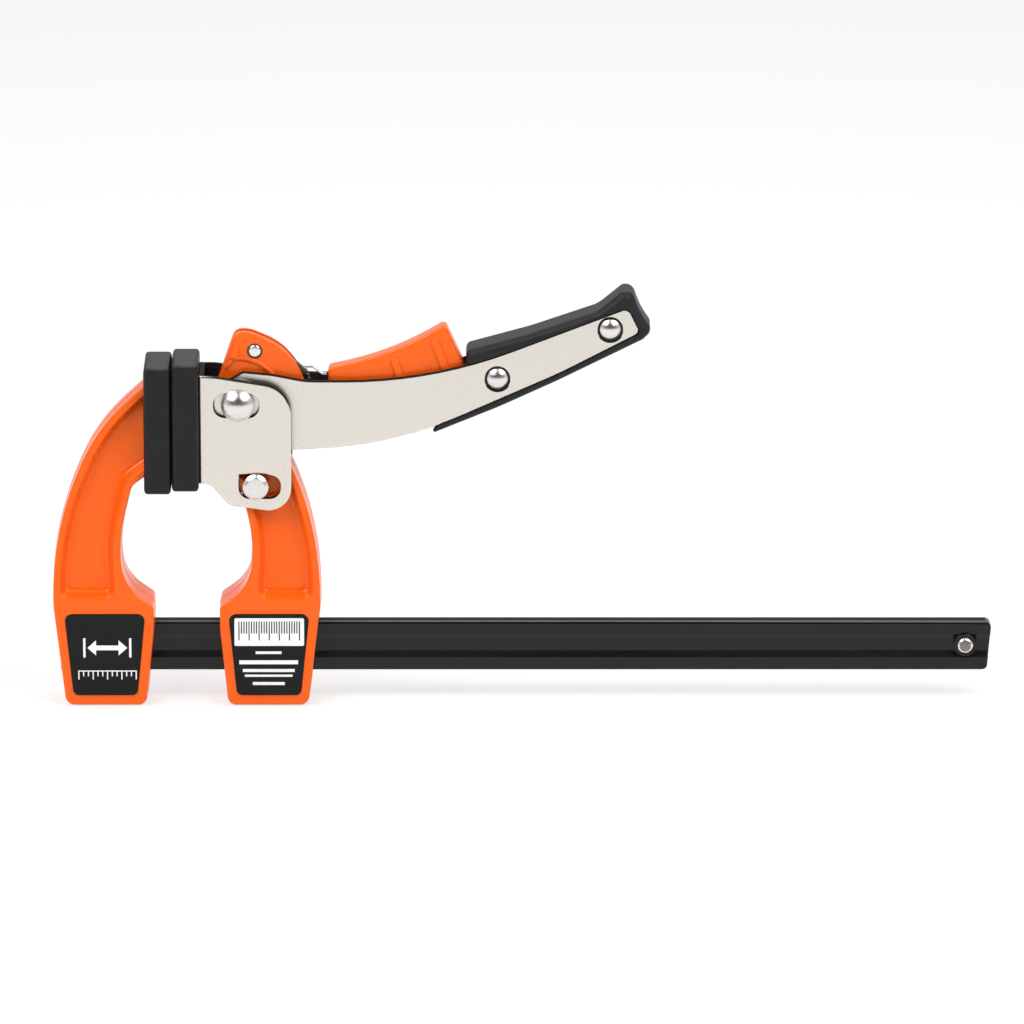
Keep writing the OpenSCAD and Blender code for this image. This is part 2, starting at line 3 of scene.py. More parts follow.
import bmesh
import bpy
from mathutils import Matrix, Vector


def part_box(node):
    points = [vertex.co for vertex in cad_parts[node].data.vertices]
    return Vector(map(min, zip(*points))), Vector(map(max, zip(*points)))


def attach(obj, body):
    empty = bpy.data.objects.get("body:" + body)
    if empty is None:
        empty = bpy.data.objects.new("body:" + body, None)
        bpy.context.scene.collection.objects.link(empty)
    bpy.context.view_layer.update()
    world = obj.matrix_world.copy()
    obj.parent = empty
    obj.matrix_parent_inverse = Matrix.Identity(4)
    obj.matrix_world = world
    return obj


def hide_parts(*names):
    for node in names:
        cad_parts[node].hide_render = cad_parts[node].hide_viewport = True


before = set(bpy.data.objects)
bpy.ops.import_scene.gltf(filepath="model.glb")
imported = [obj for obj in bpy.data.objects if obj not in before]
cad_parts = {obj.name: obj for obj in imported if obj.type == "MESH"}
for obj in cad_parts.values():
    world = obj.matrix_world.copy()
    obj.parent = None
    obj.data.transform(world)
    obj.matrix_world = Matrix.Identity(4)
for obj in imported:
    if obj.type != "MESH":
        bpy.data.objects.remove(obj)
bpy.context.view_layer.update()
mm = 0.001


# camera, floor and light
camera = {
    "target": (0.1950, 0.0, 0.0927),
    "distance": 5.3,
    "elevation": 15.0,
    "focalLength": 387.4,
    "sensorWidth": 36,
    "clipEnd": 60,
}
studio = {
    "floorSize": 9.0,
    "floorMiddle": (0.2, 0.5, 0),
    "floorColor": (0.87, 0.87, 0.87, 1),
    "floorGlow": 0.62,
    "floorClouds": (0.985, 1.0),
    "skyStrength": 0.80,
    "darkStrength": 0.05,        # the sky is dark towards the camera
    "darkWay": (0, -0.94, 0.34),
    "darkRange": (0.35, 0.8),
    "lampSize": 1.2,
}
# each lamp's place, target and power
lamps = {
    "softboxLeft": ((-0.85, -0.95, 1.55), (0.1, 0, 0.1), 29.0),
    "softboxRight": ((1.25, -0.95, 1.55), (0.25, 0, 0.1), 29.0),
    "backLight": ((0.2, 1.1, 1.5), (0.2, 0, 0.12), 9.0),
}


def deselectAll():
    if bpy.context.object and bpy.context.object.mode != "OBJECT":
        bpy.ops.object.mode_set(mode="OBJECT")
    bpy.ops.object.select_all(action="DESELECT")


def activate(piece):
    deselectAll()
    piece.select_set(True)
    bpy.context.view_layer.objects.active = piece


def newTree(owner):
    owner.use_nodes = True
    owner.node_tree.nodes.clear()
    return owner.node_tree


def node(tree, kind, inputs=None, **settings):
    made = tree.nodes.new(kind)
    for name, value in settings.items():
        setattr(made, name, value)
    for socket, value in (inputs or {}).items():
        if isinstance(value, bpy.types.NodeSocket):
            tree.links.new(value, made.inputs[socket])
        else:
            made.inputs[socket].default_value = value
    return made


def calculate(tree, operation, first, second):
    return node(tree, "ShaderNodeMath", {0: first, 1: second}, operation=operation).outputs[0]


def mixColors(tree, factor, first, second):
    return node(tree, "ShaderNodeMix", {0: factor, 6: first, 7: second}, data_type="RGBA").outputs[2]


def setUpCamera():
    data = bpy.data.cameras.new("photoCamera")
    data.lens = camera["focalLength"]
    data.sensor_width = camera["sensorWidth"]
    data.clip_end = camera["clipEnd"]
    holder = bpy.data.objects.new("photoCamera", data)
    bpy.context.scene.collection.objects.link(holder)
    tilt = radians(camera["elevation"])
    away = Vector((0, -cos(tilt), sin(tilt))) * camera["distance"]
    holder.location = Vector(camera["target"]) + away
    holder.rotation_euler = (pi / 2 - tilt, 0, 0)
    bpy.context.scene.camera = holder


def addLamp(name, place, target, power):
    data = bpy.data.lights.new(name, "AREA")
    data.shape = "SQUARE"
    data.size = studio["lampSize"]
    data.energy = power
    lamp = bpy.data.objects.new(name, data)
    bpy.context.scene.collection.objects.link(lamp)
    lamp.location = place
    aim = Vector(target) - Vector(place)
    lamp.rotation_euler = aim.to_track_quat("-Z", "Y").to_euler()


def makeFloor():
    deselectAll()
    bpy.ops.mesh.primitive_plane_add(size=studio["floorSize"], location=studio["floorMiddle"])
    floor = bpy.context.object
    floor.name = "floor"
    floorMaterial = bpy.data.materials.new("paleFloor")
    tree = newTree(floorMaterial)
    path = node(tree, "ShaderNodeLightPath").outputs
    seen = calculate(tree, "MAXIMUM", path["Is Camera Ray"], path["Is Glossy Ray"])
    glow = calculate(tree, "MULTIPLY", seen, studio["floorGlow"])
    cloud = node(tree, "ShaderNodeTexNoise", {"Scale": 3.0, "Detail": 2.0})
    low, high = studio["floorClouds"]
    tint = node(tree, "ShaderNodeMapRange", {"Value": cloud.outputs["Fac"], "To Min": low, "To Max": high})
    matte = node(tree, "ShaderNodeBsdfDiffuse", {"Color": studio["floorColor"]})
    shine = node(tree, "ShaderNodeEmission", {"Strength": tint.outputs["Result"]})
    mix = node(tree, "ShaderNodeMixShader", {0: glow, 1: matte.outputs[0], 2: shine.outputs[0]})
    node(tree, "ShaderNodeOutputMaterial", {"Surface": mix.outputs[0]})
    floor.data.materials.append(floorMaterial)


def makeSky():
    world = bpy.data.worlds.new("studioSky")
    bpy.context.scene.world = world
    tree = newTree(world)
    seen = node(tree, "ShaderNodeLightPath").outputs["Is Camera Ray"]
    way = node(tree, "ShaderNodeTexCoord").outputs["Generated"]
    facing = node(tree, "ShaderNodeVectorMath", {0: way, 1: studio["darkWay"]}, operation="DOT_PRODUCT")
    low, high = studio["darkRange"]
    strength = node(tree, "ShaderNodeMapRange", {
        "Value": facing.outputs["Value"], "From Min": low, "From Max": high,
        "To Min": studio["skyStrength"], "To Max": studio["darkStrength"]},
        interpolation_type="SMOOTHSTEP")
    sky = node(tree, "ShaderNodeBackground", {"Strength": strength.outputs["Result"]})
    white = node(tree, "ShaderNodeBackground", {"Strength": 1.0})
    mix = node(tree, "ShaderNodeMixShader", {0: seen, 1: sky.outputs[0], 2: white.outputs[0]})
    node(tree, "ShaderNodeOutputWorld", {"Surface": mix.outputs[0]})


print("setting up camera and studio")
bpy.context.scene.view_settings.view_transform = "Standard"
setUpCamera()
makeFloor()
makeSky()
for lampName, (place, target, power) in lamps.items():
    addLamp(lampName, place, target, power)


# shared surface effects
def newGroup(name, inputs, outputs):
    group = bpy.data.node_groups.new(name, "ShaderNodeTree")
    for label, kind, value in inputs:
        socket = group.interface.new_socket(name=label, in_out="INPUT", socket_type="NodeSocket" + kind)
        if value is not None:
            socket.default_value = value
    for label, kind in outputs:
        group.interface.new_socket(name=label, in_out="OUTPUT", socket_type="NodeSocket" + kind)
    return group, group.nodes.new("NodeGroupInput").outputs, group.nodes.new("NodeGroupOutput").inputs


def noise(tree, vector, size, **settings):
    # the pattern of a noise whose waves are size metres long
    scale = calculate(tree, "DIVIDE", 1.0, size)
    return node(tree, "ShaderNodeTexNoise", {"Vector": vector, "Scale": scale, **settings}).outputs["Fac"]


def makeMottle():
    # two colours that drift into each other, with a roughness that drifts too
    group, given, out = newGroup("mottle", [
        ("Vector", "Vector", None), ("Color A", "Color", None), ("Color B", "Color", None),
        ("Size", "Float", 0.004), ("Rough Low", "Float", 0.3), ("Rough High", "Float", 0.4)],
        [("Color", "Color"), ("Roughness", "Float")])
    drift = noise(group, given["Vector"], given["Size"], Detail=4.0, Roughness=0.6)
    share = node(group, "ShaderNodeMapRange", {"Value": drift, "From Min": 0.3, "From Max": 0.7})
    rough = node(group, "ShaderNodeMapRange", {
        "Value": drift, "From Min": 0.25, "From Max": 0.75,
        "To Min": given["Rough Low"], "To Max": given["Rough High"]})
    color = mixColors(group, share.outputs["Result"], given["Color A"], given["Color B"])
    group.links.new(color, out["Color"])
    group.links.new(rough.outputs["Result"], out["Roughness"])
    return group


def makeGrain():
    # a height pattern, coarse waves under a fine tooth
    group, given, out = newGroup("grain", [
        ("Vector", "Vector", None), ("Coarse Size", "Float", 0.002), ("Fine Size", "Float", 0.0004),
        ("Fine Share", "Float", 0.3)], [("Height", "Float")])
    coarse = noise(group, given["Vector"], given["Coarse Size"], Detail=2.0)
    fine = noise(group, given["Vector"], given["Fine Size"], Detail=2.0)
    tooth = calculate(group, "MULTIPLY", fine, given["Fine Share"])
    group.links.new(calculate(group, "ADD", coarse, tooth), out["Height"])
    return group


def makeSpecks():
    # a mask of tiny scattered dots, in some of the cells only
    group, given, out = newGroup("specks", [
        ("Vector", "Vector", None), ("Spacing", "Float", 0.004), ("Amount", "Float", 0.5),
        ("Share", "Float", 0.4)], [("Mask", "Float")])
    scale = calculate(group, "DIVIDE", 1.0, given["Spacing"])
    cells = node(group, "ShaderNodeTexVoronoi", {"Vector": given["Vector"], "Scale": scale}).outputs
    dots = node(group, "ShaderNodeMapRange", {
        "Value": cells["Distance"], "From Min": 0.045, "From Max": 0.075, "To Min": 1.0, "To Max": 0.0})
    chosen = node(group, "ShaderNodeSeparateColor", {"Color": cells["Color"]})
    rare = calculate(group, "LESS_THAN", chosen.outputs[0], given["Share"])
    few = calculate(group, "MULTIPLY", dots.outputs["Result"], rare)
    group.links.new(calculate(group, "MULTIPLY", few, given["Amount"]), out["Mask"])
    return group


mottle = makeMottle()
grain = makeGrain()
specks = makeSpecks()


def makeMaterial(name, finish):
    material = bpy.data.materials.new(name)
    tree = newTree(material)
    place = node(tree, "ShaderNodeMapping", {
        "Vector": node(tree, "ShaderNodeTexCoord").outputs["Object"],
        "Scale": finish.get("stretch", (1, 1, 1))}).outputs[0]
    patches = node(tree, "ShaderNodeGroup", node_tree=mottle, inputs={
        "Vector": place, "Color A": (*finish["colorA"], 1), "Color B": (*finish["colorB"], 1),
        "Size": finish["patchSize"], "Rough Low": finish["roughness"][0],
        "Rough High": finish["roughness"][1]})
    tooth = node(tree, "ShaderNodeGroup", node_tree=grain, inputs={
        "Vector": place, "Coarse Size": finish["grain"][0], "Fine Size": finish["grain"][1],
        "Fine Share": finish["grain"][2]})
    bump = node(tree, "ShaderNodeBump", {
        "Height": tooth.outputs["Height"], "Strength": finish["bump"], "Distance": finish["bumpDepth"]})
    color = patches.outputs["Color"]
    if "speck" in finish:
        dots = node(tree, "ShaderNodeGroup", node_tree=specks, inputs={
            "Vector": place, "Spacing": finish["speckSize"], "Amount": finish["speck"]})
        color = mixColors(tree, dots.outputs["Mask"], color, (*finish["speckColor"], 1))
    surface = node(tree, "ShaderNodeBsdfPrincipled", {
        "Base Color": color, "Roughness": patches.outputs["Roughness"],
        "Normal": bump.outputs[0], "Metallic": finish.get("metallic", 0.0),
        "Coat Weight": finish.get("coat", 0.0), "Coat Roughness": finish.get("coatRoughness", 0.1),
        "Specular IOR Level": finish.get("specular", 0.5),
        "Specular Tint": (*finish.get("tint", (1, 1, 1)), 1)})
    node(tree, "ShaderNodeOutputMaterial", {"Surface": surface.outputs[0]})
    return material


finishes = {
    "orangeCoat": {
        "colorA": (0.81, 0.092, 0.002), "colorB": (0.85, 0.102, 0.003), "patchSize": 0.02,
        "roughness": (0.26, 0.33), "grain": (0.0016, 0.0004, 0.25), "bump": 0.25,
        "bumpDepth": 0.00012, "coat": 0.3, "coatRoughness": 0.14, "specular": 0.8,
        "tint": (1, 0.45, 0.12), "speck": 0.25, "speckSize": 0.004,
        "speckColor": (0.62, 0.055, 0.001)},
    "blackBar": {
        "colorA": (0.0045, 0.0045, 0.0048), "colorB": (0.007, 0.007, 0.0073), "patchSize": 0.02,
        "roughness": (0.16, 0.26), "grain": (0.003, 0.0006, 0.3), "bump": 0.2,
        "bumpDepth": 0.00006, "stretch": (0.12, 1, 1), "specular": 0.3},
    # painted shade: a matte copy of the bar's black for the top face alone, with almost no reflection so that
    # the top looks darker
    "barTop": {
        "colorA": (0.014, 0.014, 0.0145), "colorB": (0.022, 0.022, 0.0225), "patchSize": 0.02,
        "roughness": (0.45, 0.55), "grain": (0.003, 0.0006, 0.3), "bump": 0.2,
        "bumpDepth": 0.00006, "stretch": (0.12, 1, 1), "specular": 0.02},
    # painted highlight: a lighter copy of the bar's black for the rounding of its top edges
    "barEdge": {
        "colorA": (0.05, 0.05, 0.05), "colorB": (0.09, 0.09, 0.088), "patchSize": 0.02,
        "roughness": (0.3, 0.4), "grain": (0.003, 0.0006, 0.3), "bump": 0.2, "bumpDepth": 0.00006,
        "stretch": (0.12, 1, 1), "specular": 0.5},
    "padRubber": {
        "colorA": (0.005, 0.005, 0.0051), "colorB": (0.0075, 0.0076, 0.0078), "patchSize": 0.008,
        "roughness": (0.42, 0.55), "grain": (0.0012, 0.0004, 0.6), "bump": 0.35,
        "bumpDepth": 0.0001, "specular": 0.3, "speck": 0.7, "speckSize": 0.006,
        "speckColor": (0.004, 0.004, 0.004)},
    "plateSteel": {
        "colorA": (0.735, 0.695, 0.63), "colorB": (0.84, 0.80, 0.735), "patchSize": 0.0011,
        "roughness": (0.27, 0.42), "grain": (0.0012, 0.0003, 0.7), "bump": 0.3,
        "bumpDepth": 0.00004, "metallic": 1.0},
    "polishedSteel": {
        "colorA": (0.73, 0.71, 0.68), "colorB": (0.78, 0.76, 0.73), "patchSize": 0.002,
        "roughness": (0.23, 0.29), "grain": (0.003, 0.0006, 0.3), "bump": 0.05,
        "bumpDepth": 0.00002, "metallic": 1.0},
    "pinSteel": {
        "colorA": (0.74, 0.72, 0.69), "colorB": (0.83, 0.81, 0.78), "patchSize": 0.0012,
        "roughness": (0.14, 0.26), "grain": (0.0012, 0.0003, 0.4), "bump": 0.12,
        "bumpDepth": 0.00003, "metallic": 1.0},
    "stopFace": {
        "colorA": (0.20, 0.175, 0.155), "colorB": (0.30, 0.27, 0.24), "patchSize": 0.0009,
        "roughness": (0.3, 0.5), "grain": (0.0008, 0.0003, 0.6), "bump": 0.35,
        "bumpDepth": 0.00005, "metallic": 1.0},
    # dark steel, also used as painted shade for the ring round the head pin
    "darkSteelAndShade": {
        "colorA": (0.065, 0.055, 0.048), "colorB": (0.13, 0.115, 0.10), "patchSize": 0.002,
        "roughness": (0.3, 0.5), "grain": (0.0014, 0.0004, 0.5), "bump": 0.3, "bumpDepth": 0.00005,
        "metallic": 1.0},
    # painted shade: near-black for sawn sheet edges and for faces in the gaps between sheets
    "paintedShade": {
        "colorA": (0.010, 0.0095, 0.009), "colorB": (0.028, 0.025, 0.022), "patchSize": 0.0015,
        "roughness": (0.35, 0.55), "grain": (0.001, 0.0003, 0.6), "bump": 0.3,
        "bumpDepth": 0.00005, "specular": 0.02, "stretch": (1, 0.25, 1)},
    "gripPlastic": {
        "colorA": (0.015, 0.0155, 0.016), "colorB": (0.021, 0.0215, 0.022), "patchSize": 0.01,
        "roughness": (0.36, 0.46), "grain": (0.0009, 0.0003, 0.5), "bump": 0.3,
        "bumpDepth": 0.00008, "specular": 0.12},
    "labelBlack": {
        "colorA": (0.008, 0.008, 0.0083), "colorB": (0.011, 0.011, 0.0114), "patchSize": 0.006,
        "roughness": (0.38, 0.5), "grain": (0.001, 0.0003, 0.5), "bump": 0.2, "bumpDepth": 0.00003,
        "specular": 0.15},
    "printWhite": {
        "colorA": (0.78, 0.78, 0.775), "colorB": (0.86, 0.86, 0.855), "patchSize": 0.001,
        "roughness": (0.45, 0.6), "grain": (0.0008, 0.0002, 0.5), "bump": 0.15,
        "bumpDepth": 0.00002, "specular": 0.3},
}
print("making materials")
materials = {name: makeMaterial(name, finish) for name, finish in finishes.items()}


# tools for the pieces
far = 200.0                  # past the end of every piece, in mm, for cutters
slack = 0.02                 # keeps two faces out of one plane, in mm
weldDistance = 0.000002
flatAngle = radians(0.3)     # the CAD's facets in one plane become one face
sharpAngle = radians(25)     # an edge that turns by more is rounded


def copyOfNode(name, pieceName):
    piece = bpy.data.objects.new(pieceName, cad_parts[name].data.copy())
    piece.data.name = pieceName
    piece.data.materials.clear()
    bpy.context.scene.collection.objects.link(piece)
    activate(piece)
    bpy.ops.object.mode_set(mode="EDIT")
    bpy.ops.mesh.select_mode(type="VERT")
    bpy.ops.mesh.select_all(action="SELECT")
    bpy.ops.mesh.remove_doubles(threshold=weldDistance)
    bpy.ops.mesh.dissolve_limited(angle_limit=flatAngle)
    bpy.ops.object.mode_set(mode="OBJECT")
    return piece


def newPiece(name, points, edges=(), faces=()):
    mesh = bpy.data.meshes.new(name)
    mesh.from_pydata([Vector(point) * mm for point in points], edges, faces)
    piece = bpy.data.objects.new(name, mesh)
    bpy.context.scene.collection.objects.link(piece)
    activate(piece)
    return piece


def applyModifier(piece, kind, **settings):
    modifier = piece.modifiers.new(kind.lower(), kind)
    for name, value in settings.items():
        setattr(modifier, name, value)
    activate(piece)
    bpy.ops.object.modifier_apply(modifier=modifier.name)


def roundEdges(piece, widthAt, largest, segments=3):
    # widthAt gives each sharp edge's width in mm, from its middle and whether it runs along Y
    work = bmesh.new()
    work.from_mesh(piece.data)
    weight = work.edges.layers.float.new("bevel_weight_edge")
    for edge in work.edges:
        if len(edge.link_faces) != 2 or edge.calc_face_angle(0) < sharpAngle:
            continue
        a, b = (vert.co / mm for vert in edge.verts)
        middle = (a + b) / 2
        across = abs(a.y - b.y) > 0.9 * (a - b).length
        edge[weight] = min(1.0, widthAt(middle, across) / largest)
    work.to_mesh(piece.data)
    work.free()
    applyModifier(piece, "BEVEL", width=largest * mm, segments=segments, limit_method="WEIGHT",
                  use_clamp_overlap=False, loop_slide=False)


def finishPiece(piece, body, materialName, replaced=(), others=(), smooth=38):
    # others holds further materials, each with a test of a face's middle in mm and its normal
    activate(piece)
    bpy.ops.object.shade_smooth_by_angle(angle=radians(smooth))
    applyModifier(piece, "WEIGHTED_NORMAL", keep_sharp=True, weight=80)
    piece.data.materials.clear()
    piece.data.materials.append(materials[materialName])
    for index, (name, test) in enumerate(others, 1):
        piece.data.materials.append(materials[name])
        for face in piece.data.polygons:
            if test(face.center / mm, face.normal):
                face.material_index = index
    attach(piece, body)
    if replaced:
        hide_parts(*replaced)


def joinPieces(first, *others):
    deselectAll()
    for piece in (first, *others):
        piece.select_set(True)
    bpy.context.view_layer.objects.active = first
    bpy.ops.object.join()


def pointOutwards():
    # the normals of the active piece
    bpy.ops.object.mode_set(mode="EDIT")
    bpy.ops.mesh.select_all(action="SELECT")
    bpy.ops.mesh.normals_make_consistent(inside=False)
    bpy.ops.object.mode_set(mode="OBJECT")


def turnedPiece(name, places, profile, steps=72):
    # a profile of (radius, y) pairs in mm, spun round an axis along Y at each place
    shapes = []
    for index, (x, z) in enumerate(places):
        points = [(x + radius, y, z) for radius, y in profile]
        links = [(i, i + 1) for i in range(len(points) - 1)]
        shape = newPiece(name if index == 0 else name + "_more", points, links)
        bpy.ops.object.mode_set(mode="EDIT")
        bpy.ops.mesh.select_all(action="SELECT")
        bpy.ops.mesh.spin(steps=steps, angle=2 * pi, center=(x * mm, 0, z * mm), axis=(0, 1, 0))
        bpy.ops.mesh.select_all(action="SELECT")
        bpy.ops.mesh.remove_doubles(threshold=weldDistance)
        bpy.ops.mesh.normals_make_consistent(inside=False)
        bpy.ops.object.mode_set(mode="OBJECT")
        shapes.append(shape)
    if len(shapes) > 1:
        joinPieces(*shapes)
    return shapes[0]


def domeProfile(diameter, height, foot, count=9):
    # from the crown down to the rim, for a head whose flat side is at y = foot
    radius = (diameter * diameter / 4 + height * height) / (2 * height)
    rows = []
    for step in range(count + 1):
        out = diameter / 2 * sin(pi / 2 * step / count)
        rows.append((out, foot + height - radius + (radius * radius - out * out) ** 0.5))
    return rows


def bothEnds(half):
    # the half profile is mirrored, so that the pin has the same head at both ends
    return half + [(radius, -y) for radius, y in reversed(half)]


def boxMiddle(name):
    low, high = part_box(name)
    return (low + high) / 2 / mm


def flatShapes(name, shapes, front, thickness):
    # plain inked shapes, each an anticlockwise list of (x, z) in mm
    points, faces = [], []
    for shape in shapes:
        faces.append([len(points) + i for i in range(len(shape))])
        points += [(x, front, z) for x, z in shape]
    piece = newPiece(name, points, (), faces)
    applyModifier(piece, "SOLIDIFY", thickness=thickness * mm, offset=-1)
    return piece


def stripe(x0, x1, z0, z1):
    return [(x0, z0), (x1, z0), (x1, z1), (x0, z1)]


# outlines are lists of (x, z, corner radius) in mm, anticlockwise
largeRadius = 40.0       # a larger corner is cut three times as fine
smallestRadius = 0.3


def moved(corners, place):
    return [(x + place.x, z + place.z, radius) for x, z, radius in corners]


def unit(x, z):
    length = hypot(x, z)
    return x / length, z / length


def roundedOutline(corners, step=6.0):
    points = []
    for i, (x, z, radius) in enumerate(corners):
        if radius == 0:
            points.append((x, z))
            continue
        before, after = corners[i - 1], corners[(i + 1) % len(corners)]
        ux, uz = unit(before[0] - x, before[1] - z)
        wx, wz = unit(after[0] - x, after[1] - z)
        half = acos(max(-1.0, min(1.0, ux * wx + uz * wz))) / 2
        mx, mz = unit(ux + wx, uz + wz)
        cx, cz = x + mx * radius / sin(half), z + mz * radius / sin(half)
        start = atan2(z + uz * radius / tan(half) - cz, x + ux * radius / tan(half) - cx)
        end = atan2(z + wz * radius / tan(half) - cz, x + wx * radius / tan(half) - cx)
        turn = (end - start + pi) % (2 * pi) - pi
        count = max(3, ceil(degrees(pi - 2 * half) / (step / 3 if radius > largeRadius else step)))
        for k in range(count + 1):
            angle = start + turn * k / count
            points.append((cx + radius * cos(angle), cz + radius * sin(angle)))
    return points


def insetOutline(corners, away):
    # every side moves inwards, and each corner radius follows
    inner = []
    for i, (x, z, radius) in enumerate(corners):
        before, after = corners[i - 1], corners[(i + 1) % len(corners)]
        ux, uz = unit(x - before[0], z - before[1])
        wx, wz = unit(after[0] - x, after[1] - z)
        turn = ux * wz - uz * wx
        px, pz, qx, qz = x - away * uz, z + away * ux, x - away * wz, z + away * wx
        share = ((qx - px) * wz - (qz - pz) * wx) / turn
        size = max(smallestRadius, radius + (-away if turn > 0 else away)) if radius else 0
        inner.append((px + ux * share, pz + uz * share, size))
    return inner


def offsetLoop(loop, away):
    # each point moves outwards by the same way, across the line between its neighbours
    area = sum(a[0] * b[1] - b[0] * a[1] for a, b in zip(loop, loop[1:] + loop[:1]))
    side = away if area > 0 else -away
    outer = []
    for i, (x, z) in enumerate(loop):
        before, after = loop[i - 1], loop[(i + 1) % len(loop)]
        ux, uz = unit(after[0] - before[0], after[1] - before[1])
        outer.append((x + side * uz, z - side * ux))
    return outer


def mirroredOutline(corners, middle):
    return [(2 * middle - x, z, radius) for x, z, radius in reversed(corners)]


def loft(name, rows, closed=False):
    # rows are (outline, y), all with as many points; a closed loft runs back to its first row
    points, faces = [], []
    count = len(rows[0][0])
    for row, y in rows:
        points += [(x, y, z) for x, z in row]
    for r in range(len(rows) if closed else len(rows) - 1):
        for i in range(count):
            here, there = r * count, (r + 1) % len(rows) * count
            after = (i + 1) % count
            faces.append((here + i, here + after, there + after, there + i))
    if not closed:
        faces.append(tuple(reversed(range(count))))
        faces.append(tuple(range((len(rows) - 1) * count, len(rows) * count)))
    piece = newPiece(name, points, (), faces)
    pointOutwards()
    return piece


def roundedSlab(name, corners, half, radius, inset=0.0, steps=4, middle=()):
    # a slab along Y whose rims are rounded; middle holds extra (inset, y) rows
    rows = []
    for step in range(steps + 1):
        angle = pi / 2 * step / steps
        rows.append((inset + radius * (1 - sin(angle)), half - radius * (1 - cos(angle))))
    rows += list(middle)
    rows += [(away, -y) for away, y in reversed(rows[:steps + 1])]
    return loft(name, [(roundedOutline(insetOutline(corners, away)), y) for away, y in rows])


def combine(piece, other, operation):
    applyModifier(piece, "BOOLEAN", object=other, operation=operation, solver="EXACT")
    mesh = other.data
    bpy.data.objects.remove(other)
    bpy.data.meshes.remove(mesh)


def box(name, low, high):
    deselectAll()
    bpy.ops.mesh.primitive_cube_add(size=1, location=(Vector(low) + Vector(high)) / 2 * mm)
    made = bpy.context.object
    made.name = name
    made.scale = (Vector(high) - Vector(low)) * mm
    bpy.ops.object.transform_apply(location=True, rotation=False, scale=True)
    return made


# where the painted shade goes on the sheets, as limits on a face's normal
paintedShade = {"steep": 0.3, "flat": 0.985, "upwards": 0.15, "inside": 0.5}


def isPaintedShade(normal):
    # painted shade: the sawn edge of a sheet, and the upper part of its rounding, coloured near-black
    across = abs(normal.y)
    return across < paintedShade["steep"] or (across < paintedShade["flat"] and normal.z > paintedShade["upwards"])


# the two cast jaws
jaws = {
    "half": 15.0,            # half the thickness of the block
    "tipHalf": 8.8,          # and at the arm's tip
    "foot": 39.2,
    "footShift": 0.4,
    "blockTop": 50.0,
    "blockSide": -25.95,
    "blockIn": 23.15,
    "armIn": 7.8,
    "bend": -3.8,
    "chin": 108.3,           # under the arm's tip
    "chinSlope": 0.72,
    "crown": 137.2,          # and over it
    "crownSlope": 0.926,
    "tip": 19.75,
    "rim": 1.1,              # round of the rims
    "rimWidth": 3.9,
    "recessFoot": 49.8,
    "recessTip": 19.25,
    "recessRound": 8.7,
    "ridgeTop": 0.3,         # the fine ridge where the two halves of the mould meet
    "ridgeFoot": 0.75,
    "ridgeHeight": 0.2,
    "draft": 0.012,
    "leanHeight": 112.0,
    "leanFrom": 9.0,         # nearer to the middle plane the sides lean less
    "slotEnd": -22.5,        # the bar's end in the fixed jaw
    "slidingFit": 0.2,
    "slidingMiddle": 77.3,
}
# the recess's wall, as pairs of how far in and how deep
recessWall = [(-0.8, -0.6), (-0.8, 0.0), (-0.42, 0.07), (-0.1, 0.28), (0.35, 0.8), (1.7, 3.5),
              (2.1, 4.15), (2.7, 4.65), (3.4, 4.92), (4.2, 5.0)]


def armTop(tip, sideRadius):
    armIn, bend, chin, crown = jaws["armIn"], jaws["bend"], jaws["chin"], jaws["crown"]
    return [(armIn - 1.1, 82.3, 74), (armIn + 5.1, chin, 7),
            (tip, chin + (tip - armIn - 5.1) * jaws["chinSlope"], 0),
            (tip, crown + (tip - bend) * jaws["crownSlope"], 0),
            (bend, crown, 90), (jaws["blockSide"], 88.6, sideRadius)]


def jawOutline():
    half, shift, top = jaws["foot"] / 2, jaws["footShift"], jaws["blockTop"]
    return [(-half - shift, 0, 5), (half - shift, 0, 4.5), (jaws["blockIn"], 38, 40),
            (jaws["blockIn"], top - 0.7, 3.5), (jaws["armIn"] + 0.8, top + 9.8, 22),
            *armTop(jaws["tip"], 158), (jaws["blockSide"], top, 60)]


def recessOutline(tip):
    foot, radius = jaws["recessFoot"], jaws["recessRound"]
    return [(jaws["blockSide"], foot, radius), (jaws["armIn"] + 0.7, foot, radius), *armTop(tip, 136)]


def castJaw(name, place):
    # place turns a jaw's corners into those of this jaw
    foot, height, top = jaws["ridgeFoot"], jaws["ridgeHeight"], jaws["ridgeTop"]
    lean = height + jaws["draft"] * (jaws["half"] - foot)
    ridge = [(height, foot), (0, top), (0, -top), (height, -foot)]
    jaw = roundedSlab(name, place(jawOutline()), jaws["half"], jaws["rim"], lean, 5, ridge)
    for side in (1, -1):
        rows = []
        for away, depth in recessWall:
            inset = jaws["rimWidth"] + away
            corners = insetOutline(recessOutline(jaws["recessTip"] + inset), inset)
            rows.append((roundedOutline(place(corners), 8), side * (jaws["half"] - depth)))
        combine(jaw, loft("recessCutter", rows), "DIFFERENCE")
    return jaw


def cutSlot(jaw, left, fit):
    low, high = barLow / mm, barHigh / mm
    cutter = box("slotCutter", (left, low.y - fit, low.z - fit), (far, high.y + fit, high.z + fit))
    combine(jaw, cutter, "DIFFERENCE")


